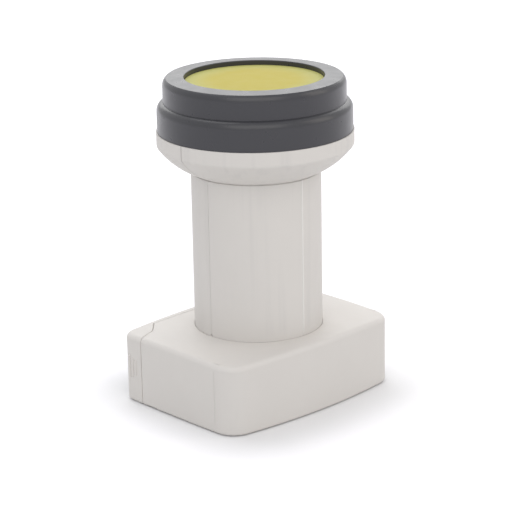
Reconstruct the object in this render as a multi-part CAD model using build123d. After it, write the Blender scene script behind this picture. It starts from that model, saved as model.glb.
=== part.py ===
import os
from math import hypot

from build123d import *

# Satellite LNB standing on the back of its box: the neck's axis is Z and z = 0 is the rest face.
# X runs along the box's long side, -Y is its plain front and +Y is the connector side.

# Outside of the box
half_length = 35.3
front_depth = 27.5
rear_depth = 26.25
front_bow = 3.2
rear_bow = 0.95
side_bow = 0.4
front_corner = 7.2
rear_corner = 4.4
box_foot = 0.2
box_top = 23.1
crown_radius = 620.0
top_round = 1.6
foot_round = 0.9
wall = 2.0
roof = 2.1
plate = 2.0
fit_gap = 0.1
crease_side = 0.3
crease_depth = 0.13
crease_inset = 7.0
crease_height = 16.8

# Neck and collar, parted in the Y = 0 plane
neck_radius = 20.0
neck_wall = 1.8
neck_length = 49.5
neck_gap = 0.1
seat_depth = 1.2
seat_width = 1.4
neck_step = 0.35
neck_groove = 0.25
groove_height = 0.45
cone_height = 7.2
cone_bulge = 0.75
collar_radius = 30.2
collar_wall = 1.9
collar_band = 5.0
collar_round = 0.5
seam = 0.06
collar_seam = 0.18
mark_radius = 0.45
mark_height = 0.15
relief_radius = 0.45

# Dark cap with its window
cap_inset = 0.33
cap_lower = 9.0
cap_upper = 7.6
cap_shoulder = 1.95
shoulder_fall = 2.6
cap_round = 1.1
cap_fall = 2.2
cap_wall = 1.9
spigot_depth = 2.6
brim_width = 6.62
brim_rise = 0.25
window_round = 0.3
window_recess = 1.5
window_rise = 1.5
window_flange = 1.8
flange_width = 3.3
window_skin = 1.8
seal_section = 0.6
seal_inset = 1.2

# Weather cover that slides along Y
ear_depth = 10.35
bend_depth = 7.85
bend_inset = 7.3
bend_round = 1.0
cover_lip = 3.25
lip_inset = 11.7
cover_gap = 0.15
slide_gap = 0.4
sleeve_wall = 1.5
sleeve_depth = 30.25
sleeve_corner = 2.2
edge_round = 0.3
grip_height = 7.6
grip_step = 1.2
grip_radius = 0.4
grip_proud = 0.36
grip_inset = 4.5
grip_pitch = 1.45
grip_count = 3

# Feed horn with its round waveguide, and the cast chassis with lid and gasket
tube_inner = 9.0
tube_wall = 2.3
tube_gap = 1.3
horn_wall = 2.0
horn_mouth = 7.5
horn_flare = 19.5
boss_radius = 2.8
boss_gap = 0.7
boss_inset = 0.3
tray_wall = 2.0
tray_side = 2.5
tray_front = 5.5
tray_corner = 3.0
front_gap = 0.8
mouth_depth = 7.25
end_plate = 3.0
end_gap = 0.6
lid_thickness = 1.5
gasket_thickness = 0.6
board_thickness = 1.6
board_gap = 0.2
pillar_radius = 2.4
board_screw = 1.0
probe_radius = 0.45
bushing_radius = 1.25
probe_reach = 5.6
probe_stand = 2.0
probe_stagger = 1.0
can_length = 10.0
can_height = 3.2
can_corner = 0.6
chip_length = 6.0
chip_height = 1.6
chip_gap = 2.0
regulator_length = 6.5
regulator_height = 1.8
part_gap = 1.5
pillar_inset = 4.0

# Connectors with 3/8-32 thread
connector_inset = 10.0
thread_radius = 4.76
thread_length = 10.8
hex_across = 12.0
hex_height = 3.0
spigot_radius = 4.0
connector_bore = 3.4
contact_radius = 0.55
tail_radius = 0.5
connector_seal = 0.6

# Screws
screw_radius = 1.4
screw_head = 2.7
screw_cone = 1.6
screw_grip = 3.6
lid_screw = 0.8
slot_width = 0.6

# Heights, from the foot up
cavity_top = box_top - roof
neck_foot = box_top - neck_radius**2 / (2 * crown_radius)
neck_seat = box_top - seat_depth
neck_end = box_top + neck_length
groove_low = neck_end - groove_height
cone_top = neck_end + cone_height
collar_top = cone_top + collar_band
cap_step = collar_top + cap_lower
cap_top = cap_step + cap_upper
cap_edge = cap_top - brim_rise
window_face = cap_top - window_recess
window_ledge = window_face - window_rise
rim_top = window_ledge - window_flange
sleeve_low = plate + slide_gap
sleeve_high = cavity_top - slide_gap
bore_low = sleeve_low + sleeve_wall
bore_high = sleeve_high - sleeve_wall
chassis_top = bore_high - slide_gap
lid_low = bore_low + slide_gap
lid_high = lid_low + lid_thickness
tray_low = lid_high + gasket_thickness
tray_roof = chassis_top - tray_wall
connector_z = (bore_low + bore_high) / 2
board_high = connector_z - tail_radius
board_low = board_high - board_thickness
screw_end = tray_low + screw_grip

# Plan, from the outside in
cavity_half = half_length - side_bow - wall
sleeve_half = cavity_half - slide_gap
bore_half = sleeve_half - sleeve_wall
sleeve_end = rear_depth - sleeve_depth
boss_x = cavity_half - boss_radius - boss_inset
chassis_half = boss_x - boss_radius - boss_gap
chassis_front = -(front_depth - front_bow - wall - front_gap)
chassis_rear = rear_depth - mouth_depth
pocket_half = chassis_half - tray_side
pocket_front = chassis_front + tray_front
pocket_rear = chassis_rear - tray_side
end_half = bore_half - end_gap
connector_x = pocket_half - connector_inset
shell_boss = [(-boss_x, pocket_front - boss_radius / 2), (boss_x, pocket_front - boss_radius / 2)]
chassis_boss = [(side * pocket_half * 2 / 3, chassis_front + tray_front / 2) for side in (-1, 1)]
tube_outer = tube_inner + tube_wall
cap_radius = collar_radius - cap_inset
cap_upper_radius = cap_radius - cap_shoulder
window_radius = cap_upper_radius - brim_width
rim_radius = window_radius + flange_width
seal_radius = window_radius + seal_inset
aperture = seal_radius - seal_section - horn_wall
collar_bore = collar_radius - collar_wall
thread_start = chassis_rear + 2 * connector_seal + hex_height
thread_end = thread_start + thread_length


def cyl(radius, low, high, x=0.0, y=0.0):
    return Pos(x, y, (low + high) / 2) * Cylinder(radius, high - low)


def rod(radius, start, end, x, z):
    return Pos(x, (start + end) / 2, z) * Rot(90, 0, 0) * Cylinder(radius, end - start)


def block(x0, x1, y0, y1, z0, z1):
    return Pos((x0 + x1) / 2, (y0 + y1) / 2, (z0 + z1) / 2) * Box(x1 - x0, y1 - y0, z1 - z0)


def turned(*edges):
    return revolve(Plane.XZ * make_face(Curve() + list(edges)), Axis.Z)


def turned_poly(*points):
    return turned(Polyline(*points, close=True))


def fall_radius(inward, down):
    # Radius of an arc that leaves an upright wall and ends this far inward and up
    return (inward**2 + down**2) / (2 * inward)


def outline():
    x = half_length - side_bow
    front = -(front_depth - front_bow)
    rear = rear_depth - rear_bow
    middle = (front + rear) / 2
    edges = [
        ThreePointArc((-x, front), (0, -front_depth), (x, front)),
        ThreePointArc((x, front), (half_length, middle), (x, rear)),
        ThreePointArc((x, rear), (0, rear_depth), (-x, rear)),
        ThreePointArc((-x, rear), (-half_length, middle), (-x, front)),
    ]
    face = fillet(make_face(Curve() + edges).vertices().sort_by(Axis.Y)[:2], front_corner)
    return fillet(face.vertices().sort_by(Axis.Y)[-2:], rear_corner)


def rear_zone(shift):
    # Everything behind the cover's seam, with the seam moved back by shift
    rear = rear_depth + shift
    ear, bend, lip = rear - ear_depth, rear - bend_depth, rear - cover_lip
    bend_x, lip_x = half_length - bend_inset, half_length - lip_inset
    reach = 2 * half_length
    start = ear - (bend - ear) / bend_inset * (reach - half_length)
    points = [(-reach, start), (-bend_x, bend), (-lip_x, lip), (lip_x, lip), (bend_x, bend), (reach, start)]
    face = make_face(Polyline(*points, (reach, reach), (-reach, reach), close=True))
    face = fillet(face.vertices().filter_by(lambda v: abs(v.Y - bend) < 0.001), bend_round)
    return Pos(0, 0, -box_top) * extrude(face, 3 * box_top)


def side_x(y):
    # Half width of the bowed sides at y
    front, rear = front_bow - front_depth, rear_depth - rear_bow
    return half_length - side_bow * ((2 * y - front - rear) / (rear - front)) ** 2


def seam_edges(piece, zone):
    # Edges of a piece that lie on the seam's two ears and on the outside of the box
    near = piece.edges().filter_by(lambda e: e.center().Y > rear_depth - ear_depth - cover_gap)
    near = near.filter_by(lambda e: abs(e.center().X) > half_length - lip_inset)
    for skin in (zone, outer_box):
        faces = skin.faces()
        near = near.filter_by(lambda e: min(f.distance_to(e.position_at(0.5)) for f in faces) < 0.001)
    return near


def countersunk(x, y):
    return Pos(x, y, screw_cone / 2) * Cone(screw_head, screw_radius, screw_cone)


plan = outline()
outer_box = Pos(0, 0, box_foot) * extrude(plan, box_top - box_foot)
outer_box &= Pos(0, 0, box_top - crown_radius) * Rot(90, 0, 0) * Sphere(crown_radius)
outer_box = fillet(outer_box.faces().sort_by(Axis.Z)[-1].edges(), top_round)
outer_box = fillet(outer_box.faces().sort_by(Axis.Z)[0].edges(), foot_round)

# Box shell: open below and behind, with a stepped hole that seats the neck
cavity = extrude(offset(plan, -wall), cavity_top)
cavity += block(-cavity_half, cavity_half, 0, rear_depth, 0, cavity_top)
box_shell = outer_box - cavity - rear_zone(0)
box_shell = fillet(seam_edges(box_shell, rear_zone(0)), edge_round)
for x, y in shell_boss:
    side = cavity_half + wall / 2
    box_shell += cyl(boss_radius, plate, cavity_top + wall / 2, x, y)
    box_shell += block(min(x, x / abs(x) * side), max(x, x / abs(x) * side), y - wall / 2, y + wall / 2,
                       plate + slide_gap, cavity_top + wall / 2)
    box_shell -= cyl(screw_radius, 0, screw_end, x, y)
crease_y = front_bow - front_depth + crease_inset
crease_x = side_x(crease_y) + crease_side / 2**0.5 - crease_depth
groove = Rot(0, 0, 45) * Box(crease_side, crease_side, crease_height)
for x in (-crease_x, crease_x):
    box_shell -= Pos(x, crease_y, connector_z) * groove
box_shell -= cyl(neck_radius + neck_gap, neck_seat, box_top + 1)
box_shell -= cyl(neck_radius - seat_width, cavity_top - 1, box_top + 1)

# Back cover: a plate inside the shell's foot, with posts under the casting
back_cover = extrude(offset(plan, -wall - fit_gap), plate) - rear_zone(-cover_gap)
cover_screws = []
for x, y in chassis_boss:
    back_cover += cyl(boss_radius, plate / 2, lid_low, x, y)
for x, y in shell_boss + chassis_boss:
    screw = countersunk(x, y) + cyl(screw_radius, screw_cone / 2, screw_end, x, y)
    back_cover -= screw
    cut = screw_head * 0.6
    screw -= block(x - cut, x + cut, y - slot_width / 2, y + slot_width / 2, -1, screw_cone / 2)
    screw -= block(x - slot_width / 2, x + slot_width / 2, y - cut, y + cut, -1, screw_cone / 2)
    cover_screws.append(screw)

# Sliding weather cover: a band flush with the box and a sleeve inside the shell
sleeve = block(-sleeve_half, sleeve_half, sleeve_end, rear_depth - cover_lip / 2, sleeve_low, sleeve_high)
bore = block(-bore_half, bore_half, sleeve_end - 1, rear_depth + 1, bore_low, bore_high)
slide_cover = outer_box & rear_zone(cover_gap)
slide_cover = fillet(seam_edges(slide_cover, rear_zone(cover_gap)), edge_round)
slide_cover += fillet(sleeve.edges().filter_by(Axis.Y), sleeve_corner)
for place in range(grip_count):
    grip_y = rear_depth - grip_inset - place * grip_pitch
    half_grip = (grip_height - place * grip_step) / 2 - grip_radius
    rib = cyl(grip_radius, connector_z - half_grip, connector_z + half_grip)
    rib += Pos(0, 0, connector_z - half_grip) * Sphere(grip_radius)
    rib += Pos(0, 0, connector_z + half_grip) * Sphere(grip_radius)
    rib = Pos(side_x(grip_y) + grip_proud - grip_radius, grip_y, 0) * rib
    slide_cover += rib
    slide_cover += mirror(rib, Plane.YZ)
slide_cover -= fillet(bore.edges().filter_by(Axis.Y), sleeve_corner - sleeve_wall / 2)
notch = tube_outer + tube_gap
slide_cover -= block(-notch, notch, sleeve_end - 1, 0, connector_z, box_top)
slide_cover -= cyl(notch, connector_z, box_top)

# Neck and collar: one turned shell with a relief groove under its cone, cut into a front and a rear half
cone_in = neck_radius + neck_step
cone_out = collar_radius - collar_round
cone_slope = hypot(cone_out - cone_in, cone_height)
cone_middle = (
    (cone_in + cone_out) / 2 + cone_bulge * cone_height / cone_slope,
    (neck_end + cone_top) / 2 - cone_bulge * (cone_out - cone_in) / cone_slope,
)
band_low = cone_top + 2.5 * collar_round
neck_bore = neck_radius - neck_wall
groove_radius = neck_radius - neck_groove
neck = turned(
    Line((neck_radius, neck_seat), (neck_radius, groove_low)),
    Line((neck_radius, groove_low), (groove_radius, groove_low)),
    Line((groove_radius, groove_low), (groove_radius, neck_end)),
    Line((groove_radius, neck_end), (cone_in, neck_end)),
    ThreePointArc((cone_in, neck_end), cone_middle, (cone_out, cone_top)),
    ThreePointArc((cone_out, cone_top), (cone_out + 0.75 * collar_round, cone_top + collar_round),
                  (collar_radius, band_low)),
    Line((collar_radius, band_low), (collar_radius, collar_top)),
    Line((collar_radius, collar_top), (collar_bore, collar_top)),
    Line((collar_bore, collar_top), (collar_bore, band_low)),
    Line((collar_bore, band_low), (neck_bore, neck_end + neck_wall / 2)),
    Line((neck_bore, neck_end + neck_wall / 2), (neck_bore, neck_seat)),
    Line((neck_bore, neck_seat), (neck_radius, neck_seat)),
)
reach = 2 * collar_radius
neck -= Pos(-neck_radius, 0, neck_foot + relief_radius / 2) * Sphere(relief_radius)
neck_front_half = neck & block(-reach, reach, -reach, -seam / 2, 0, cap_top)
neck_rear_half = neck & block(-reach, reach, seam / 2, reach, 0, cap_top)
collar_slot = block(-reach, reach, -collar_seam / 2, collar_seam / 2, neck_end, cap_top)
neck_front_half -= collar_slot
neck_rear_half -= collar_slot
mark_out = neck_radius + mark_height
neck_front_half += cyl(mark_radius, box_top, groove_low, 0, mark_radius - mark_out)

# Dark cap: a stepped ring whose spigot enters the collar and whose ledge holds the window
cap_bore = rim_radius + neck_gap
spigot = collar_bore - neck_gap
spigot_bore = spigot - cap_wall
rim_low = rim_top - horn_mouth / 2
pane_edge = window_radius + window_round
brim_radius = cap_upper_radius - cap_round
brim_low = cap_edge - cap_fall
shoulder_low = cap_step - shoulder_fall
shoulder_curve = fall_radius(cap_shoulder, shoulder_fall)
brim_curve = fall_radius(cap_round, cap_fall)
sun_cap = turned(
    Line((cap_radius, collar_top), (cap_radius, shoulder_low)),
    RadiusArc((cap_radius, shoulder_low), (cap_upper_radius, cap_step), -shoulder_curve),
    Line((cap_upper_radius, cap_step), (cap_upper_radius, brim_low)),
    RadiusArc((cap_upper_radius, brim_low), (brim_radius, cap_edge), -brim_curve),
    Line((brim_radius, cap_edge), (pane_edge, cap_top)),
    RadiusArc((pane_edge, cap_top), (window_radius, cap_top - window_round), -window_round),
    Line((window_radius, cap_top - window_round), (window_radius, window_ledge)),
    Line((window_radius, window_ledge), (cap_bore, window_ledge)),
    Line((cap_bore, window_ledge), (cap_bore, rim_low - 1)),
    Line((cap_bore, rim_low - 1), (spigot_bore, rim_low - 1 - cap_wall)),
    Line((spigot_bore, rim_low - 1 - cap_wall), (spigot_bore, collar_top - spigot_depth)),
    Line((spigot_bore, collar_top - spigot_depth), (spigot, collar_top - spigot_depth)),
    Line((spigot, collar_top - spigot_depth), (spigot, collar_top)),
    Line((spigot, collar_top), (cap_radius, collar_top)),
)

# Feed window with its clamped flange, and the ring seal under it
pane = window_radius - fit_gap
flange = rim_radius - fit_gap
feed_window = turned_poly(
    (0, window_face - window_skin), (aperture, window_face - window_skin), (aperture, rim_top),
    (flange, rim_top), (flange, window_ledge), (pane, window_ledge), (pane, window_face), (0, window_face),
)
window_seal = Pos(0, 0, rim_top - seal_section) * Torus(seal_radius, seal_section)

# Feed horn: its waveguide passes through the chassis roof and ends on the board
groove = rim_top - 2 * seal_section
flare_top = rim_top - horn_mouth
flare_low = flare_top - horn_flare
feed_horn = turned_poly(
    (tube_inner, board_high), (tube_outer, board_high), (tube_outer, flare_low + tube_wall / 2),
    (aperture + horn_wall, flare_top), (rim_radius, rim_low), (rim_radius, rim_top),
    (seal_radius + seal_section, rim_top), (seal_radius + seal_section, groove),
    (seal_radius - seal_section, groove), (seal_radius - seal_section, rim_top),
    (aperture, rim_top), (aperture, flare_top), (tube_inner, flare_low),
)

# Chassis: a cast tray, open below, whose end plate fills the cover's mouth
tray_rear = chassis_rear - end_plate
chassis = block(-chassis_half, chassis_half, chassis_front, chassis_rear, tray_low, chassis_top)
chassis = fillet(chassis.edges().filter_by(Axis.Z).group_by(Axis.Y)[0], tray_corner)
chassis += block(-end_half, end_half, tray_rear, chassis_rear, lid_low, chassis_top)
chassis -= block(-pocket_half, pocket_half, pocket_front, pocket_rear, tray_low, tray_roof)
chassis -= block(-chassis_half, chassis_half, pocket_front, pocket_rear, lid_low - 1, tray_low)
pillar_x = pocket_half - pillar_inset
pillar_y = [pocket_front + pillar_inset, pocket_rear - pillar_inset]
pillars = [(side * pillar_x, y) for side in (-1, 1) for y in pillar_y]
for x, y in pillars:
    chassis += cyl(pillar_radius, board_high, tray_roof + tray_wall / 2, x, y)
    chassis -= cyl(board_screw, board_high, board_high + screw_grip, x, y)
chassis -= cyl(tube_outer, tray_roof - 1, chassis_top + 1)
for x, y in chassis_boss:
    chassis -= cyl(screw_radius, tray_low, screw_end, x, y)
lid_x = (chassis_half + pocket_half) / 2
lid_y = [pocket_front + pillar_inset / 2, (pocket_front + pocket_rear) / 2, pocket_rear - pillar_inset]
lid_places = [(side * lid_x, y) for side in (-1, 1) for y in lid_y]
for x, y in lid_places:
    chassis -= cyl(lid_screw, tray_low, screw_end, x, y)
for side in (-1, 1):
    chassis -= rod(spigot_radius, pocket_rear - 1, chassis_rear + 1, side * connector_x, connector_z)
side_z = board_high + 2 * bushing_radius
front_z = side_z + probe_stagger
probe_x = tube_outer + probe_stand
ring_at = tube_inner + tube_wall / 2
feed_horn -= Pos(ring_at, 0, side_z) * Rot(0, 90, 0) * Cylinder(bushing_radius, 2 * tube_wall)
feed_horn -= Pos(0, -ring_at, front_z) * Rot(90, 0, 0) * Cylinder(bushing_radius, 2 * tube_wall)

# Lid, gasket and lid screws
lid_rear = pocket_rear - board_gap
lid_plan = [(-chassis_half, chassis_half, chassis_front, lid_rear, low, high)
            for low, high in ((lid_low, lid_high), (lid_high, tray_low))]
chassis_lid, lid_gasket = [
    fillet(block(*size).edges().filter_by(Axis.Z).group_by(Axis.Y)[0], tray_corner) for size in lid_plan
]
lid_gasket -= block(-pocket_half, pocket_half, pocket_front, lid_rear - tray_side / 2, lid_high, tray_low)
for x, y in chassis_boss:
    hole = cyl(screw_radius, lid_low, tray_low, x, y)
    chassis_lid -= hole
    lid_gasket -= hole
lid_screws = []
for x, y in lid_places:
    head = Pos(x, y, lid_low + lid_screw / 2) * Cone(1.5 * lid_screw, lid_screw, lid_screw)
    screw = head + cyl(lid_screw, lid_low + lid_screw / 2, screw_end, x, y)
    chassis_lid -= screw
    lid_gasket -= screw
    slot = Pos(x, y, lid_low) * Box(2 * lid_screw, slot_width / 2, lid_screw)
    lid_screws.append(screw - slot)

# Circuit board, its screws and the larger parts on it
circuit_board = block(-pocket_half + board_gap, pocket_half - board_gap, pocket_front + board_gap,
                      pocket_rear - board_gap, board_low, board_high)
board_screws = []
for x, y in pillars:
    circuit_board -= cyl(board_screw, board_low, board_high, x, y)
    screw = cyl(board_screw, board_low, board_high + screw_grip, x, y)
    board_screws.append(screw + cyl(2 * board_screw, board_low - board_screw, board_low, x, y))
can_in = tube_outer + 2 * part_gap
can_out = pocket_half - part_gap
can_half = can_length / 2
oscillator_can = block(-can_out, -can_in, -can_half, can_half, board_high, board_high + can_height)
oscillator_can = fillet(oscillator_can.edges().filter_by(Axis.Z), can_corner)
chip_in = probe_x + chip_gap
chip_half = chip_length / 2
switch_chip = block(chip_in, can_out, -chip_half, chip_half, board_high, board_high + chip_height)
regulator_mid = board_low - regulator_height / 2
regulator_chip = Pos(0, 0, regulator_mid) * Box(regulator_length, regulator_length, regulator_height)

# Probes that carry the two polarisations from the waveguide to the board
reach_in = probe_x - probe_reach / 2 - tube_wall
side_probe = cyl(probe_radius, board_high, side_z, probe_x)
side_probe += Pos(probe_x, 0, side_z) * Sphere(probe_radius)
side_probe += Pos(reach_in, 0, side_z) * Rot(0, 90, 0) * Cylinder(probe_radius, 2 * (probe_x - reach_in))
front_probe = cyl(probe_radius, board_high, front_z, 0, -probe_x)
front_probe += Pos(0, -probe_x, front_z) * Sphere(probe_radius)
front_probe += Pos(0, -reach_in, front_z) * Rot(90, 0, 0) * Cylinder(probe_radius, 2 * (probe_x - reach_in))
ring = Cylinder(bushing_radius, tube_wall) - Cylinder(probe_radius, tube_wall)
probe_bushings = [
    Pos(ring_at, 0, side_z) * Rot(0, 90, 0) * ring,
    Pos(0, -ring_at, front_z) * Rot(90, 0, 0) * ring,
]

# Threaded connectors, one at each side of the middle
connectors = {}
hex_face = extrude(RegularPolygon(hex_across / 2, 6, major_radius=False), hex_height)
for label, side in (("left", -1), ("right", 1)):
    x = side * connector_x
    body = rod(thread_radius, thread_start, thread_end, x, connector_z)
    body = chamfer(body.edges().group_by(Axis.Y)[-1], thread_radius / 10)
    body += Pos(x, thread_start, connector_z) * Rot(90, 0, 0) * hex_face
    body += rod(spigot_radius, pocket_rear, thread_start, x, connector_z)
    body -= rod(connector_bore, pocket_rear - 1, thread_end + 1, x, connector_z)
    insulator = rod(connector_bore, pocket_rear, thread_end - contact_radius, x, connector_z)
    insulator -= rod(contact_radius, pocket_rear - 1, thread_end, x, connector_z)
    contact = rod(tail_radius, pocket_rear - 6, chassis_rear, x, connector_z)
    contact += rod(contact_radius, pocket_rear, thread_end - 2 * contact_radius, x, connector_z)
    contact -= rod(0.6 * contact_radius, thread_start, thread_end, x, connector_z)
    seal = Pos(x, chassis_rear + connector_seal, connector_z) * Rot(90, 0, 0)
    seal *= Torus(spigot_radius + connector_seal, connector_seal)
    connectors[label] = {"body": body, "insulator": insulator, "contact": contact, "seal": seal}

parts = {
    "box_shell": box_shell,
    "back_cover": back_cover,
    "cover_screws": Compound(children=cover_screws),
    "slide_cover": slide_cover,
    "neck_front_half": neck_front_half,
    "neck_rear_half": neck_rear_half,
    "sun_cap": sun_cap,
    "feed_window": feed_window,
    "window_seal": window_seal,
    "feed_horn": feed_horn,
    "chassis": chassis,
    "chassis_lid": chassis_lid,
    "lid_gasket": lid_gasket,
    "lid_screws": Compound(children=lid_screws),
    "circuit_board": circuit_board,
    "board_screws": Compound(children=board_screws),
    "oscillator_can": oscillator_can,
    "switch_chip": switch_chip,
    "regulator_chip": regulator_chip,
    "side_probe": side_probe,
    "front_probe": front_probe,
    "probe_bushings": Compound(children=probe_bushings),
}
for label, pieces in connectors.items():
    for piece, shape in pieces.items():
        parts[f"{label}_connector_{piece}"] = shape

os.makedirs("parts", exist_ok=True)
for name, shape in parts.items():
    export_step(shape, f"parts/{name}.step")
    box = shape.bounding_box()
    print(name, len(shape.solids()), [round(v, 2) for v in (*box.min, *box.max)])
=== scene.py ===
import bpy
import math
from mathutils import Matrix, Vector


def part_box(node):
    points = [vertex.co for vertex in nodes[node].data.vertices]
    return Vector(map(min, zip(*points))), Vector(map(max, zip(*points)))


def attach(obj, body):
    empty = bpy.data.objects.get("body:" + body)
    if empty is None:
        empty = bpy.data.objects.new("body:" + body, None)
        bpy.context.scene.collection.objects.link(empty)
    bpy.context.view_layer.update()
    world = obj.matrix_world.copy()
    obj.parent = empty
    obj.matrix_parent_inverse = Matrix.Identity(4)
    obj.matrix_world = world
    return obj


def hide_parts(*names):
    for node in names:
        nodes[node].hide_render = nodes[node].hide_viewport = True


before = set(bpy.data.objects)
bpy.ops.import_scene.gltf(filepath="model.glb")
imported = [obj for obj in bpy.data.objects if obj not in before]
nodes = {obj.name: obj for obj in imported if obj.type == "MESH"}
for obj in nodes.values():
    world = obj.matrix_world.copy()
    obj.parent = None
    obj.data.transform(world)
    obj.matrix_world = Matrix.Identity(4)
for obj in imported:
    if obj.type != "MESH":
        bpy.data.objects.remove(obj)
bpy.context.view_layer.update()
scene = bpy.context.scene
scene.view_settings.view_transform = "Standard"
mm = 0.001  # the sizes below are written in millimetres
print("frame loaded:", len(nodes), "nodes")


def hexColour(text):  # sRGB hex to a linear colour
    channels = [int(text[i:i + 2], 16) / 255 for i in (1, 3, 5)]
    linear = [c / 12.92 if c <= 0.04045 else ((c + 0.055) / 1.055) ** 2.4 for c in channels]
    return (*linear, 1.0)


def plug(tree, node, inputs):  # a socket is linked, anything else is typed in
    for key, value in inputs.items():
        if isinstance(value, bpy.types.NodeSocket):
            tree.links.new(value, node.inputs[key])
        else:
            node.inputs[key].default_value = value


def addNode(tree, kind, settings=None, inputs=None):
    node = tree.nodes.new(kind)
    for key, value in (settings or {}).items():
        setattr(node, key, value)
    plug(tree, node, inputs or {})
    return node


def newMaterial(name):
    material = bpy.data.materials.new(name)
    material.use_nodes = True
    tree = material.node_tree
    place = addNode(tree, "ShaderNodeTexCoord").outputs["Object"]
    return material, tree, tree.nodes["Principled BSDF"], place


def perMm(size):  # texture scale for a pattern of this size in millimetres
    return 1 / (size * mm)


mixShare, mixFirst, mixSecond, mixResult = 0, 6, 7, 2  # the colour sockets of a Mix node
cloudDetail, fineDetail = 3.0, 2.0  # octaves of the noises
noiseSpread = (0.3, 0.7)  # nearly all of a noise lies in this band
edgeSamples = 6  # rays that look for an edge to soften


# Shared build-up of a surface: cloudy colour, uneven gloss, fine grain, and softened edges where asked for
def dressSurface(look):
    material, tree, shader, place = newMaterial(look["name"])
    cloud = addNode(tree, "ShaderNodeTexNoise", None,
                    {"Vector": place, "Scale": perMm(look["cloudSize"]), "Detail": cloudDetail})
    tint = addNode(tree, "ShaderNodeMix", {"data_type": "RGBA"},
                   {mixShare: cloud.outputs["Fac"], mixFirst: hexColour(look["colour"]),
                    mixSecond: hexColour(look["cloudColour"])})
    gloss = addNode(tree, "ShaderNodeTexNoise", None,
                    {"Vector": place, "Scale": perMm(look["glossSize"]), "Detail": fineDetail})
    rough = addNode(tree, "ShaderNodeMapRange", None,
                    {"Value": gloss.outputs["Fac"], "From Min": noiseSpread[0], "From Max": noiseSpread[1],
                     "To Min": look["rough"][0], "To Max": look["rough"][1]})
    grain = addNode(tree, "ShaderNodeTexNoise", None,
                    {"Vector": place, "Scale": perMm(look["grainSize"]), "Detail": fineDetail})
    relief = addNode(tree, "ShaderNodeBump", None,
                     {"Height": grain.outputs["Fac"], "Strength": look["grainStrength"],
                      "Distance": look["grainDepth"] * mm})
    if "edgeRadius" in look:
        edge = addNode(tree, "ShaderNodeBevel", {"samples": edgeSamples},
                       {"Radius": look["edgeRadius"] * mm})
        plug(tree, relief, {"Normal": edge.outputs["Normal"]})
    plug(tree, shader, {"Base Color": tint.outputs[mixResult], "Roughness": rough.outputs["Result"],
                        "Normal": relief.outputs["Normal"]})
    if "ior" in look:
        shader.inputs["IOR"].default_value = look["ior"]
    if look.get("metal"):
        shader.inputs["Metallic"].default_value = 1.0
    return material, tree, shader, place, tint


def plainFinish(look):  # nothing more on the surface than that
    return dressSurface(look)[0]


# Light grey ASA, injection moulded in a spark-eroded tool: an even, matt, slightly warm grey.
# The sparks' pits are about 0.1 mm and are drawn 0.5 mm wide so that they show.
housingLook = {
    "name": "asaMouldedSparkTextured",
    "colour": "#D5D1CC", "cloudColour": "#D1CDC8", "cloudSize": 14,
    "glossSize": 3, "rough": (0.56, 0.66),
    "grainSize": 0.5, "grainStrength": 0.25, "grainDepth": 0.012,
    "edgeRadius": 0.25, "ior": 1.52,
    # the darker streak colour paints shade on the neck, standing in for shallow facets
    "streakSize": (2.6, 2.6, 90), "shadeStreakColour": "#C2BFBC", "shadeStreakAmount": 0.3,
    "streakSpread": (0.5, 0.75), "streakFrom": (23, 27),
    # the pale mark colour is a painted highlight along the neck's raised line
    "markHighlightColour": "#DEDBD7", "markRadius": (20.02, 20.1), "markEnds": (20.2, 20.22),
}


def makeHousingPlastic(look):
    material, tree, shader, place, tint = dressSurface(look)
    # faint darker vertical streaks along the neck: painted shade standing in for shallow facets
    stretched = addNode(tree, "ShaderNodeMapping", {"vector_type": "TEXTURE"},
                        {"Vector": place, "Scale": [size * mm for size in look["streakSize"]]})
    streak = addNode(tree, "ShaderNodeTexNoise", None,
                     {"Vector": stretched.outputs["Vector"], "Scale": 1.0, "Detail": fineDetail})
    streakNone, streakFull = look["streakSpread"]
    amount = addNode(tree, "ShaderNodeMapRange", None,
                     {"Value": streak.outputs["Fac"], "From Min": streakNone, "From Max": streakFull,
                      "To Max": look["shadeStreakAmount"]})
    height = addNode(tree, "ShaderNodeSeparateXYZ", None, {"Vector": place}).outputs["Z"]
    neckLow, neckFull = [size * mm for size in look["streakFrom"]]
    onNeck = addNode(tree, "ShaderNodeMapRange", None,
                     {"Value": height, "From Min": neckLow, "From Max": neckFull})
    share = addNode(tree, "ShaderNodeMath", {"operation": "MULTIPLY"},
                    {0: amount.outputs["Result"], 1: onNeck.outputs["Result"]})
    shadeStreaked = addNode(tree, "ShaderNodeMix", {"data_type": "RGBA"},
                    {mixShare: share.outputs["Value"], mixFirst: tint.outputs[mixResult],
                     mixSecond: hexColour(look["shadeStreakColour"])})
    # the raised line left by the mould stands proud of the neck; its paler colour is a painted highlight
    # where light catches the ridge
    level = addNode(tree, "ShaderNodeVectorMath", {"operation": "MULTIPLY"}, {0: place, 1: (1, 1, 0)})
    radius = addNode(tree, "ShaderNodeVectorMath", {"operation": "LENGTH"}, {0: level.outputs["Vector"]})
    markFrom, markFull = [size * mm for size in look["markRadius"]]
    raised = addNode(tree, "ShaderNodeMapRange", None,
                     {"Value": radius.outputs["Value"], "From Min": markFrom, "From Max": markFull})
    markLast, markGone = [size * mm for size in look["markEnds"]]
    below = addNode(tree, "ShaderNodeMapRange", None,
                    {"Value": radius.outputs["Value"], "From Min": markLast, "From Max": markGone,
                     "To Min": 1.0, "To Max": 0.0})
    onMark = addNode(tree, "ShaderNodeMath", {"operation": "MULTIPLY"},
                     {0: raised.outputs["Result"], 1: below.outputs["Result"]})
    markHighlightShare = addNode(tree, "ShaderNodeMath", {"operation": "MULTIPLY"},
                        {0: onMark.outputs["Value"], 1: onNeck.outputs["Result"]})
    markHighlighted = addNode(tree, "ShaderNodeMix", {"data_type": "RGBA"},
                     {mixShare: markHighlightShare.outputs["Value"], mixFirst: shadeStreaked.outputs[mixResult],
                      mixSecond: hexColour(look["markHighlightColour"])})
    plug(tree, shader, {"Base Color": markHighlighted.outputs[mixResult]})
    return material


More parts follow.
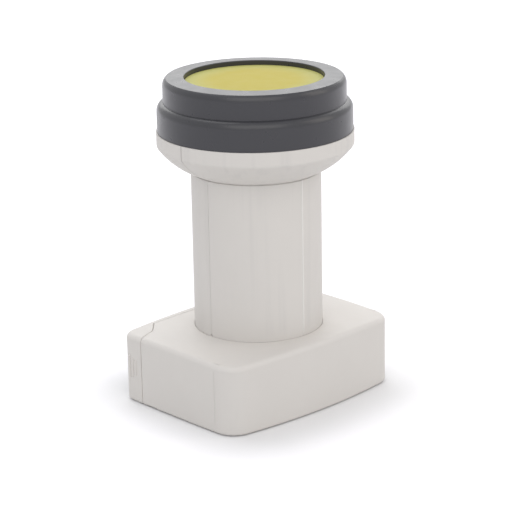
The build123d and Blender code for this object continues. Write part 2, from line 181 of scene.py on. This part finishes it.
# Dark grey polypropylene, moulded in a satin tool: deep grey sides, a milky reflection where seen flat
capLook = {
    "name": "polypropyleneMouldedSatin",
    "colour": "#36363B", "cloudColour": "#333337", "cloudSize": 9,
    "glossSize": 4, "rough": (0.27, 0.33),
    "grainSize": 0.6, "grainStrength": 0.12, "grainDepth": 0.006,
    "ior": 1.49,
}


# Yellow polypropylene disc, moulded thin and smooth: warm over the horn's opening; its paler, greener rim is
# painted light, standing in for light through the thin disc
windowLook = {
    "name": "polypropyleneMouldedThinYellow",
    "colour": "#B1A437", "cloudColour": "#AEA135", "cloudSize": 16,
    "glossSize": 5, "rough": (0.6, 0.68),
    "grainSize": 0.8, "grainStrength": 0.02, "grainDepth": 0.004,
    "edgeRadius": 0.2, "ior": 1.49,
    "rimThroughLightColour": "#AEAC60", "rimFrom": 12, "rimTo": 21, "centre": (0, 0, 99.9),
}


def makeWindowPlastic(look):
    material, tree, shader, place, tint = dressSurface(look)
    centred = addNode(tree, "ShaderNodeVectorMath", {"operation": "DISTANCE"},
                      {0: place, 1: [size * mm for size in look["centre"]]})
    toRim = addNode(tree, "ShaderNodeMapRange", {"interpolation_type": "SMOOTHSTEP"},
                    {"Value": centred.outputs["Value"], "From Min": look["rimFrom"] * mm,
                     "From Max": look["rimTo"] * mm})
    # painted light: the disc turns paler and greener towards its rim
    paintedRimLight = addNode(tree, "ShaderNodeMix", {"data_type": "RGBA"},
                    {mixShare: toRim.outputs["Result"], mixFirst: tint.outputs[mixResult],
                     mixSecond: hexColour(look["rimThroughLightColour"])})
    plug(tree, shader, {"Base Color": paintedRimLight.outputs[mixResult]})
    return material


# Black EPDM ring seals: dull and even, with a dusty bloom
sealLook = {
    "name": "epdmRubberMoulded",
    "colour": "#232324", "cloudColour": "#2D2D2E", "cloudSize": 3,
    "glossSize": 1.5, "rough": (0.6, 0.75),
    "grainSize": 0.4, "grainStrength": 0.3, "grainDepth": 0.02,
    "edgeRadius": 0.1, "ior": 1.52,
}

# Die-cast aluminium, shot blasted: dull silver with a pebbled skin.
# Its pits are about 0.2 mm and are drawn 0.45 mm wide.
castLook = {
    "name": "aluminiumDieCastShotBlasted",
    "colour": "#BDBDBF", "cloudColour": "#ADADB0", "cloudSize": 5,
    "glossSize": 1.2, "rough": (0.42, 0.58),
    "grainSize": 0.45, "grainStrength": 0.5, "grainDepth": 0.04,
    "edgeRadius": 0.2, "metal": True,
}

# Rolled aluminium sheet: smoother and brighter than the casting
sheetLook = {
    "name": "aluminiumSheetRolled",
    "colour": "#CACACC", "cloudColour": "#C2C2C5", "cloudSize": 8,
    "glossSize": 2, "rough": (0.28, 0.4),
    "grainSize": 0.6, "grainStrength": 0.15, "grainDepth": 0.01,
    "edgeRadius": 0.1, "metal": True,
}

# Zinc-plated steel screws: bright grey with a faint blue passivation
screwLook = {
    "name": "steelZincPlated",
    "colour": "#B9BBBE", "cloudColour": "#A9ADB3", "cloudSize": 1.5,
    "glossSize": 0.8, "rough": (0.25, 0.4),
    "grainSize": 0.3, "grainStrength": 0.15, "grainDepth": 0.01,
    "edgeRadius": 0.08, "metal": True,
}

# Glass-epoxy board under green solder mask: a soft green gloss over a weave with threads 0.5 mm apart
boardLook = {
    "name": "glassEpoxySolderMask",
    "colour": "#2C6A43", "cloudColour": "#266039", "cloudSize": 4,
    "glossSize": 1.5, "rough": (0.3, 0.4),
    "grainSize": 0.5, "grainStrength": 0.2, "grainDepth": 0.015,
    "edgeRadius": 0.1, "ior": 1.55,
}

# Tin-plated steel can: soft bright grey with a cloudy plating
canLook = {
    "name": "steelTinPlated",
    "colour": "#C6C5C2", "cloudColour": "#B5B4B1", "cloudSize": 2.5,
    "glossSize": 1, "rough": (0.28, 0.42),
    "grainSize": 0.4, "grainStrength": 0.15, "grainDepth": 0.01,
    "edgeRadius": 0.1, "metal": True,
}

# Black epoxy chips, transfer moulded: matt near-black
chipLook = {
    "name": "epoxyTransferMoulded",
    "colour": "#1F1F20", "cloudColour": "#262627", "cloudSize": 1.5,
    "glossSize": 0.8, "rough": (0.5, 0.62),
    "grainSize": 0.25, "grainStrength": 0.3, "grainDepth": 0.01,
    "edgeRadius": 0.06, "ior": 1.55,
}

# Brass pins and probes, turned and left bright: warm yellow with fine uneven gloss
brassLook = {
    "name": "brassTurnedBright",
    "colour": "#DDBE76", "cloudColour": "#CDAA61", "cloudSize": 1.5,
    "glossSize": 0.6, "rough": (0.18, 0.3),
    "grainSize": 0.3, "grainStrength": 0.1, "grainDepth": 0.005,
    "edgeRadius": 0.05, "metal": True,
}

# White PTFE plugs, turned from rod: waxy white
ptfeLook = {
    "name": "ptfeTurnedRod",
    "colour": "#ECEBE7", "cloudColour": "#E4E3DE", "cloudSize": 2,
    "glossSize": 1, "rough": (0.35, 0.48),
    "grainSize": 0.4, "grainStrength": 0.1, "grainDepth": 0.01,
    "edgeRadius": 0.1, "ior": 1.38,
}

# Nickel-plated brass, turned and barrel plated: a bright warm grey with soft reflections
nickelLook = {
    "name": "nickelPlatedTurned",
    "colour": "#C9C4BA", "cloudColour": "#BBB6AC", "cloudSize": 2.5,
    "glossSize": 0.9, "rough": (0.16, 0.28),
    "grainSize": 0.35, "grainStrength": 0.1, "grainDepth": 0.006,
    "edgeRadius": 0.06, "metal": True,
}

housingPlastic = makeHousingPlastic(housingLook)
windowPlastic = makeWindowPlastic(windowLook)
capPlastic = plainFinish(capLook)
sealRubber = plainFinish(sealLook)
castAluminium = plainFinish(castLook)
sheetAluminium = plainFinish(sheetLook)
screwSteel = plainFinish(screwLook)
boardLaminate = plainFinish(boardLook)
canSteel = plainFinish(canLook)
chipEpoxy = plainFinish(chipLook)
probeBrass = plainFinish(brassLook)
whitePtfe = plainFinish(ptfeLook)
connectorNickel = plainFinish(nickelLook)

finishes = {
    "box_shell": housingPlastic, "back_cover": housingPlastic, "slide_cover": housingPlastic,
    "neck_front_half": housingPlastic, "neck_rear_half": housingPlastic,
    "sun_cap": capPlastic, "feed_window": windowPlastic, "window_seal": sealRubber,
    "feed_horn": castAluminium, "chassis": castAluminium, "chassis_lid": sheetAluminium,
    "lid_gasket": sealRubber, "cover_screws": screwSteel, "lid_screws": screwSteel,
    "board_screws": screwSteel, "circuit_board": boardLaminate, "oscillator_can": canSteel,
    "switch_chip": chipEpoxy, "regulator_chip": chipEpoxy, "side_probe": probeBrass,
    "front_probe": probeBrass, "probe_bushings": whitePtfe,
}
for side in ("left", "right"):
    finishes[side + "_connector_body"] = connectorNickel
    finishes[side + "_connector_insulator"] = whitePtfe
    finishes[side + "_connector_contact"] = probeBrass
    finishes[side + "_connector_seal"] = sealRubber
for name, node in nodes.items():
    node.data.materials.clear()
    node.data.materials.append(finishes[name])
print("finishes made:", len(set(finishes.values())))


# Modelling helpers: everything is deselected first, faces are picked by a test
facing = 0.9  # a face points along Z when its normal has this much of it
smoothAngle = math.radians(28)


def startPiece(name, addPrimitive, **settings):
    bpy.ops.object.select_all(action="DESELECT")
    addPrimitive(**settings)
    piece = bpy.context.active_object
    piece.name = name
    bpy.ops.object.transform_apply(location=True, rotation=True, scale=True)
    return piece


def editFaces(piece, test):  # leaves edit mode open with the wanted faces selected
    bpy.context.view_layer.objects.active = piece
    bpy.ops.object.mode_set(mode="EDIT")
    bpy.ops.mesh.select_mode(type="FACE")
    bpy.ops.mesh.select_all(action="DESELECT")
    bpy.ops.object.mode_set(mode="OBJECT")
    for face in piece.data.polygons:
        face.select = test(face)
    bpy.ops.object.mode_set(mode="EDIT")


def applyModifier(piece, kind, **settings):
    bpy.context.view_layer.objects.active = piece
    modifier = piece.modifiers.new(kind, kind)
    for key, value in settings.items():
        setattr(modifier, key, value)
    bpy.ops.object.modifier_apply(modifier=modifier.name)


def combine(piece, tool, operation):
    applyModifier(piece, "BOOLEAN", object=tool, operation=operation, solver="EXACT")
    bpy.data.objects.remove(tool)


def layAlongY(piece, x, y, z):  # a piece modelled along Z points to +Y from this place
    piece.data.transform(Matrix.Translation((x, y, z)) @ Matrix.Rotation(-math.pi / 2, 4, "X"))


# Threaded connector, modelled once along Z from the casting's end plate and laid along Y.
# Its thread is 32 turns to the inch; heights are from the plate.
connector = {
    "spigotRadius": 4.0, "spigotLow": -2.5, "bore": 3.4, "mouth": 0.35,
    "hexAcross": 12.0, "hexLow": 1.2, "hexHigh": 4.2, "hexChamfer": 0.55, "hexFlat": 5.7,
    "threadLow": 4.7, "threadHigh": 15.0, "crest": 4.76, "root": 4.27, "pitch": 25.4 / 32,
    "lead": 0.48, "sunk": 0.08, "ridgeShare": 0.92, "threadShort": 0.02, "mergeGap": 0.00001,
    "bodyInHex": 1, "spigotInHex": 1.5, "blankSpare": 0.2, "boreSpare": 1, "steps": 72, "round": 96,
}


def tube(name, radius, low, high, sides):
    return startPiece(name, bpy.ops.mesh.primitive_cylinder_add, vertices=sides, radius=radius * mm,
                      depth=(high - low) * mm, location=(0, 0, (low + high) / 2 * mm))


def makeHex(c):
    corner = c["hexAcross"] / 2 / math.cos(math.pi / 6)
    hexagon = startPiece("hex", bpy.ops.mesh.primitive_cylinder_add, vertices=6, radius=corner * mm,
                         depth=(c["hexHigh"] - c["hexLow"]) * mm, rotation=(0, 0, math.pi / 6),
                         location=(0, 0, (c["hexLow"] + c["hexHigh"]) / 2 * mm))
    # a turned blank with coned ends takes the corners off
    blankRadius = corner + c["blankSpare"]
    chamferLow = c["hexLow"] + c["hexChamfer"]
    chamferHigh = c["hexHigh"] - c["hexChamfer"]
    blank = tube("blank", blankRadius, chamferLow, chamferHigh, c["round"])
    for way in (1, -1):
        editFaces(blank, lambda face: face.normal.z * way > facing)
        bpy.ops.mesh.inset(thickness=(blankRadius - c["hexFlat"]) * mm)
        bpy.ops.transform.translate(value=(0, 0, way * c["hexChamfer"] * mm))
        bpy.ops.object.mode_set(mode="OBJECT")
    combine(hexagon, blank, "INTERSECT")
    return hexagon


def makeThread(c):
    side = c["pitch"] * c["ridgeShare"]
    depth = side * math.sqrt(3) / 2
    start = c["threadLow"] - c["pitch"]
    ridge = startPiece("ridge", bpy.ops.mesh.primitive_circle_add, vertices=3,
                       radius=side / math.sqrt(3) * mm, rotation=(math.pi / 2, math.pi / 2, 0),
                       location=((c["root"] - c["sunk"] + depth / 3) * mm, 0, start * mm))
    turns = math.ceil((c["threadHigh"] - start) / c["pitch"]) + 1
    applyModifier(ridge, "SCREW", axis="Z", angle=2 * math.pi, screw_offset=c["pitch"] * mm,
                  iterations=turns, steps=c["steps"], render_steps=c["steps"])
    bpy.ops.object.mode_set(mode="EDIT")
    bpy.ops.mesh.select_all(action="SELECT")
    bpy.ops.mesh.remove_doubles(threshold=c["mergeGap"] * mm)
    bpy.ops.mesh.fill_holes(sides=3)  # the ridge's two open ends
    bpy.ops.mesh.select_all(action="SELECT")
    bpy.ops.mesh.normals_make_consistent(inside=False)
    bpy.ops.object.mode_set(mode="OBJECT")
    # crests turned flat and both ends led in
    envelope = tube("envelope", c["crest"], c["threadLow"], c["threadHigh"] - c["threadShort"], c["round"])
    editFaces(envelope, lambda face: abs(face.normal.z) > facing)
    bpy.ops.mesh.bevel(offset=c["lead"] * mm, affect="EDGES", segments=1)
    bpy.ops.object.mode_set(mode="OBJECT")
    combine(ridge, envelope, "INTERSECT")
    return ridge


def makeConnector(c):
    body = tube("connectorBody", c["root"], c["hexLow"] + c["bodyInHex"], c["threadHigh"], c["round"])
    combine(body, makeThread(c), "UNION")
    combine(body, makeHex(c), "UNION")
    spigotHigh = c["hexLow"] + c["spigotInHex"]
    combine(body, tube("spigot", c["spigotRadius"], c["spigotLow"], spigotHigh, c["round"]), "UNION")
    boreLow = c["spigotLow"] - c["boreSpare"]
    boreHigh = c["threadHigh"] + c["boreSpare"]
    combine(body, tube("boring", c["bore"], boreLow, boreHigh, c["round"]), "DIFFERENCE")
    flare = startPiece("flare", bpy.ops.mesh.primitive_cone_add, vertices=c["round"],
                       radius1=(c["bore"] - c["mouth"]) * mm, radius2=(c["bore"] + c["mouth"]) * mm,
                       depth=2 * c["mouth"] * mm, location=(0, 0, c["threadHigh"] * mm))
    combine(body, flare, "DIFFERENCE")
    bpy.ops.object.select_all(action="DESELECT")
    body.select_set(True)
    bpy.ops.object.shade_smooth_by_angle(angle=smoothAngle)
    body.data.materials.clear()
    body.data.materials.append(connectorNickel)
    return body


firstConnector = makeConnector(connector)
secondConnector = firstConnector.copy()
secondConnector.data = firstConnector.data.copy()
scene.collection.objects.link(secondConnector)
for side, piece in (("left", firstConnector), ("right", secondConnector)):
    low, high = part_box(side + "_connector_body")
    piece.name = side + "_connector_threaded"
    plate = low[1] - connector["spigotLow"] * mm
    layAlongY(piece, (low[0] + high[0]) / 2, plate, (low[2] + high[2]) / 2)
    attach(piece, "body")
    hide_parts(side + "_connector_body")
print("connectors modelled:", len(firstConnector.data.polygons), "faces each")


# Countersunk screws under the box, modelled once with a tapered cross recess
coverScrew = {
    "places": [(-29.8, -17.4), (29.8, -17.4), (-15.87, -18.75), (15.87, -18.75)],
    "head": 2.7, "shank": 1.4, "cone": 1.6, "length": 10.0, "round": 64,
    "rim": 0.12, "rimSteps": 3, "tip": 0.55, "tipSteps": 2,
    "wing": (0.62, 3.3, 1.5), "taper": 0.5,
}


def makeCoverScrew(c):
    screw = startPiece("coverScrew", bpy.ops.mesh.primitive_cone_add, vertices=c["round"],
                       radius1=c["head"] * mm, radius2=c["shank"] * mm, depth=c["cone"] * mm,
                       location=(0, 0, c["cone"] / 2 * mm))
    editFaces(screw, lambda face: face.normal.z > facing)
    shankLength = (c["length"] - c["cone"]) * mm
    bpy.ops.mesh.extrude_region_move(TRANSFORM_OT_translate={"value": (0, 0, shankLength)})
    bpy.ops.mesh.bevel(offset=c["tip"] * mm, affect="EDGES", segments=c["tipSteps"])
    bpy.ops.object.mode_set(mode="OBJECT")
    editFaces(screw, lambda face: face.normal.z < -facing)
    bpy.ops.mesh.bevel(offset=c["rim"] * mm, affect="EDGES", segments=c["rimSteps"])
    bpy.ops.object.mode_set(mode="OBJECT")
    for turn in (0, math.pi / 2):
        wing = startPiece("wing", bpy.ops.mesh.primitive_cube_add, size=1,
                          scale=[size * mm for size in c["wing"]], rotation=(0, 0, turn))
        editFaces(wing, lambda face: face.normal.z > facing)
        bpy.ops.transform.resize(value=(c["taper"], c["taper"], 1))
        bpy.ops.object.mode_set(mode="OBJECT")
        combine(screw, wing, "DIFFERENCE")
    bpy.ops.object.select_all(action="DESELECT")
    screw.select_set(True)
    bpy.ops.object.shade_smooth_by_angle(angle=smoothAngle)
    screw.data.materials.clear()
    screw.data.materials.append(screwSteel)
    return screw


coverScrews = makeCoverScrew(coverScrew)
copies = []
for x, y in coverScrew["places"][1:]:
    copy = coverScrews.copy()
    copy.data = coverScrews.data.copy()
    copy.data.transform(Matrix.Translation((x * mm, y * mm, 0)))
    scene.collection.objects.link(copy)
    copies.append(copy)
x, y = coverScrew["places"][0]
coverScrews.data.transform(Matrix.Translation((x * mm, y * mm, 0)))
bpy.ops.object.select_all(action="DESELECT")
for piece in [*copies, coverScrews]:
    piece.select_set(True)
bpy.context.view_layer.objects.active = coverScrews
bpy.ops.object.join()
coverScrews.name = "cover_screws_cross"
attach(coverScrews, "body")
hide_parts("cover_screws")
print("cover screws modelled:", len(coverScrews.data.polygons), "faces")


# Studio: a white floor and surround, even soft light from all round and soft panels on four sides.
# The floor and surround are white where they are seen or mirrored, and greyer as a source of light.
studio = {
    "floorSize": 8000, "floorColour": "#E4E4E4", "bounceColour": "#E6E6E6",
    "shadowHalf": (22, 20, 0),  # half sizes of the middle, from which the lifts below are measured
    "lift": (0.04, 0.3), "liftFrom": (10, 34), "liftAndShadowTint": "#F4F0F8",
    "farLift": 0.7, "farFrom": (200, 1200),  # keeps the floor white up to the horizon
    "floorDrop": 0.05,  # just clear of the box's underside
    "fill": 0.73, "fillColour": "#F8FAFF", "lampTarget": (0, 0, 45),
}


def seenOrMirrored(tree):  # 1 for the camera, for mirrors and for glass
    path = addNode(tree, "ShaderNodeLightPath").outputs
    cameraOrMirror = addNode(tree, "ShaderNodeMath", {"operation": "ADD", "use_clamp": True},
                             {0: path["Is Camera Ray"], 1: path["Is Glossy Ray"]})
    orGlass = addNode(tree, "ShaderNodeMath", {"operation": "ADD", "use_clamp": True},
                      {0: cameraOrMirror.outputs["Value"], 1: path["Is Transmission Ray"]})
    return orGlass.outputs["Value"]


def makePaper(c):
    material = bpy.data.materials.new("paperMattWhite")
    material.use_nodes = True
    tree = material.node_tree
    tree.nodes.clear()
    # matt paper under a painted glow: the glow stays low round the box's foot so that the shadow there
    # shows, and rises to white further out; its lilac tint colours that shadow
    seen = seenOrMirrored(tree)
    place = addNode(tree, "ShaderNodeTexCoord").outputs["Object"]
    folded = addNode(tree, "ShaderNodeVectorMath", {"operation": "ABSOLUTE"}, {0: place})
    beyond = addNode(tree, "ShaderNodeVectorMath", {"operation": "SUBTRACT"},
                     {0: folded.outputs["Vector"], 1: [size * mm for size in c["shadowHalf"]]})
    outside = addNode(tree, "ShaderNodeVectorMath", {"operation": "MAXIMUM"},
                      {0: beyond.outputs["Vector"], 1: (0, 0, 0)})
    apart = addNode(tree, "ShaderNodeVectorMath", {"operation": "LENGTH"}, {0: outside.outputs["Vector"]})
    liftNear, liftFull = [size * mm for size in c["liftFrom"]]
    rise = addNode(tree, "ShaderNodeMapRange", {"interpolation_type": "SMOOTHSTEP"},
                   {"Value": apart.outputs["Value"], "From Min": liftNear, "From Max": liftFull,
                    "To Min": c["lift"][0], "To Max": c["lift"][1]})
    farNear, farFull = [size * mm for size in c["farFrom"]]
    farRise = addNode(tree, "ShaderNodeMapRange", None,
                      {"Value": apart.outputs["Value"], "From Min": farNear, "From Max": farFull,
                       "To Max": c["farLift"]})
    allRise = addNode(tree, "ShaderNodeMath", {"operation": "ADD"},
                      {0: rise.outputs["Result"], 1: farRise.outputs["Result"]})
    colour = addNode(tree, "ShaderNodeMix", {"data_type": "RGBA"},
                     {mixShare: seen, mixFirst: hexColour(c["bounceColour"]),
                      mixSecond: hexColour(c["floorColour"])})
    paper = addNode(tree, "ShaderNodeBsdfDiffuse", None, {"Color": colour.outputs[mixResult]})
    glow = addNode(tree, "ShaderNodeMath", {"operation": "MULTIPLY"}, {0: seen, 1: allRise.outputs["Value"]})
    # painted light: the floor's glow, lower round the box so its shadow shows, with a lilac tint in that
    # shadow
    lift = addNode(tree, "ShaderNodeEmission", None,
                   {"Color": hexColour(c["liftAndShadowTint"]), "Strength": glow.outputs["Value"]})
    both = addNode(tree, "ShaderNodeAddShader", None,
                   {0: paper.outputs["BSDF"], 1: lift.outputs["Emission"]})
    addNode(tree, "ShaderNodeOutputMaterial", None, {"Surface": both.outputs["Shader"]})
    return material


def makeSurround(c):
    world = bpy.data.worlds.new("studio")
    world.use_nodes = True
    tree = world.node_tree
    tree.nodes.clear()
    fill = addNode(tree, "ShaderNodeBackground", None,
                   {"Color": hexColour(c["fillColour"]), "Strength": c["fill"]})
    white = addNode(tree, "ShaderNodeBackground", None, {"Color": (1, 1, 1, 1), "Strength": 1.0})
    mixed = addNode(tree, "ShaderNodeMixShader", None,
                    {0: seenOrMirrored(tree), 1: fill.outputs["Background"], 2: white.outputs["Background"]})
    addNode(tree, "ShaderNodeOutputWorld", None, {"Surface": mixed.outputs["Shader"]})
    return world


bpy.ops.object.select_all(action="DESELECT")
bpy.ops.mesh.primitive_plane_add(size=studio["floorSize"] * mm, location=(0, 0, -studio["floorDrop"] * mm))
floor = bpy.context.active_object
floor.name = "floor"
floor.data.materials.append(makePaper(studio))
scene.world = makeSurround(studio)

# Soft lamps: place is (azimuth, elevation, distance in mm) round the object, glow is the panel's radiance
lamps = {
    "front": {"place": (-43, 42, 1100), "size": (1200, 800), "glow": 1.15, "colour": "#FFFBF6"},
    "side": {"place": (45, 30, 1100), "size": (500, 700), "glow": 1.4, "colour": "#FFF4E8"},
    "rear": {"place": (132, 31, 1000), "size": (1150, 660), "glow": 1.2, "colour": "#FFFFFF"},
    "top": {"place": (170, 70, 1000), "size": (700, 500), "glow": 2.0, "colour": "#FFFFFF"},
}


def direction(azimuth, elevation):  # azimuth 0 looks along +Y from the front
    a, e = math.radians(azimuth), math.radians(elevation)
    return Vector((math.sin(a) * math.cos(e), -math.cos(a) * math.cos(e), math.sin(e)))


target = Vector(studio["lampTarget"]) * mm
for name, lamp in lamps.items():
    width, height = [size * mm for size in lamp["size"]]
    azimuth, elevation, distance = lamp["place"]
    light = bpy.data.lights.new(name, "AREA")
    light.shape = "RECTANGLE"
    light.size, light.size_y = width, height
    light.energy = lamp["glow"] * math.pi * width * height
    light.color = hexColour(lamp["colour"])[:3]
    lampObject = bpy.data.objects.new(name, light)
    scene.collection.objects.link(lampObject)
    back = direction(azimuth, elevation)
    lampObject.location = target + back * distance * mm
    lampObject.rotation_euler = back.to_track_quat("Z", "Y").to_euler()
    lampObject.visible_camera = False
print("studio lit")


# Camera fitted to the photograph: angles in degrees, lengths in millimetres,
# focal length in pixels of a frame 512 wide
photoView = {
    "azimuth": -43.222, "elevation": 17.576, "roll": -1.078, "distance": 616.855,
    "focalPixels": 1986.757, "frame": 512, "sensor": 36, "across": -0.494, "height": 44.032,
    "clip": (10, 20000),
}
back = direction(photoView["azimuth"], photoView["elevation"])
turned = math.radians(photoView["azimuth"])
right = Vector((math.cos(turned), math.sin(turned), 0))
up = right.cross(-back)
roll = math.radians(photoView["roll"])
rolledRight = math.cos(roll) * right + math.sin(roll) * up
rolledUp = -math.sin(roll) * right + math.cos(roll) * up
aim = (right * photoView["across"] + Vector((0, 0, photoView["height"]))) * mm
eye = aim + back * photoView["distance"] * mm
lens = bpy.data.cameras.new("photoCamera")
lens.sensor_width = photoView["sensor"]
lens.lens = photoView["focalPixels"] / photoView["frame"] * photoView["sensor"]
lens.clip_start, lens.clip_end = [size * mm for size in photoView["clip"]]
camera = bpy.data.objects.new("photoCamera", lens)
scene.collection.objects.link(camera)
camera.matrix_world = Matrix((
    (rolledRight.x, rolledUp.x, back.x, eye.x),
    (rolledRight.y, rolledUp.y, back.y, eye.y),
    (rolledRight.z, rolledUp.z, back.z, eye.z),
    (0, 0, 0, 1),
))
scene.camera = camera
print("camera placed")
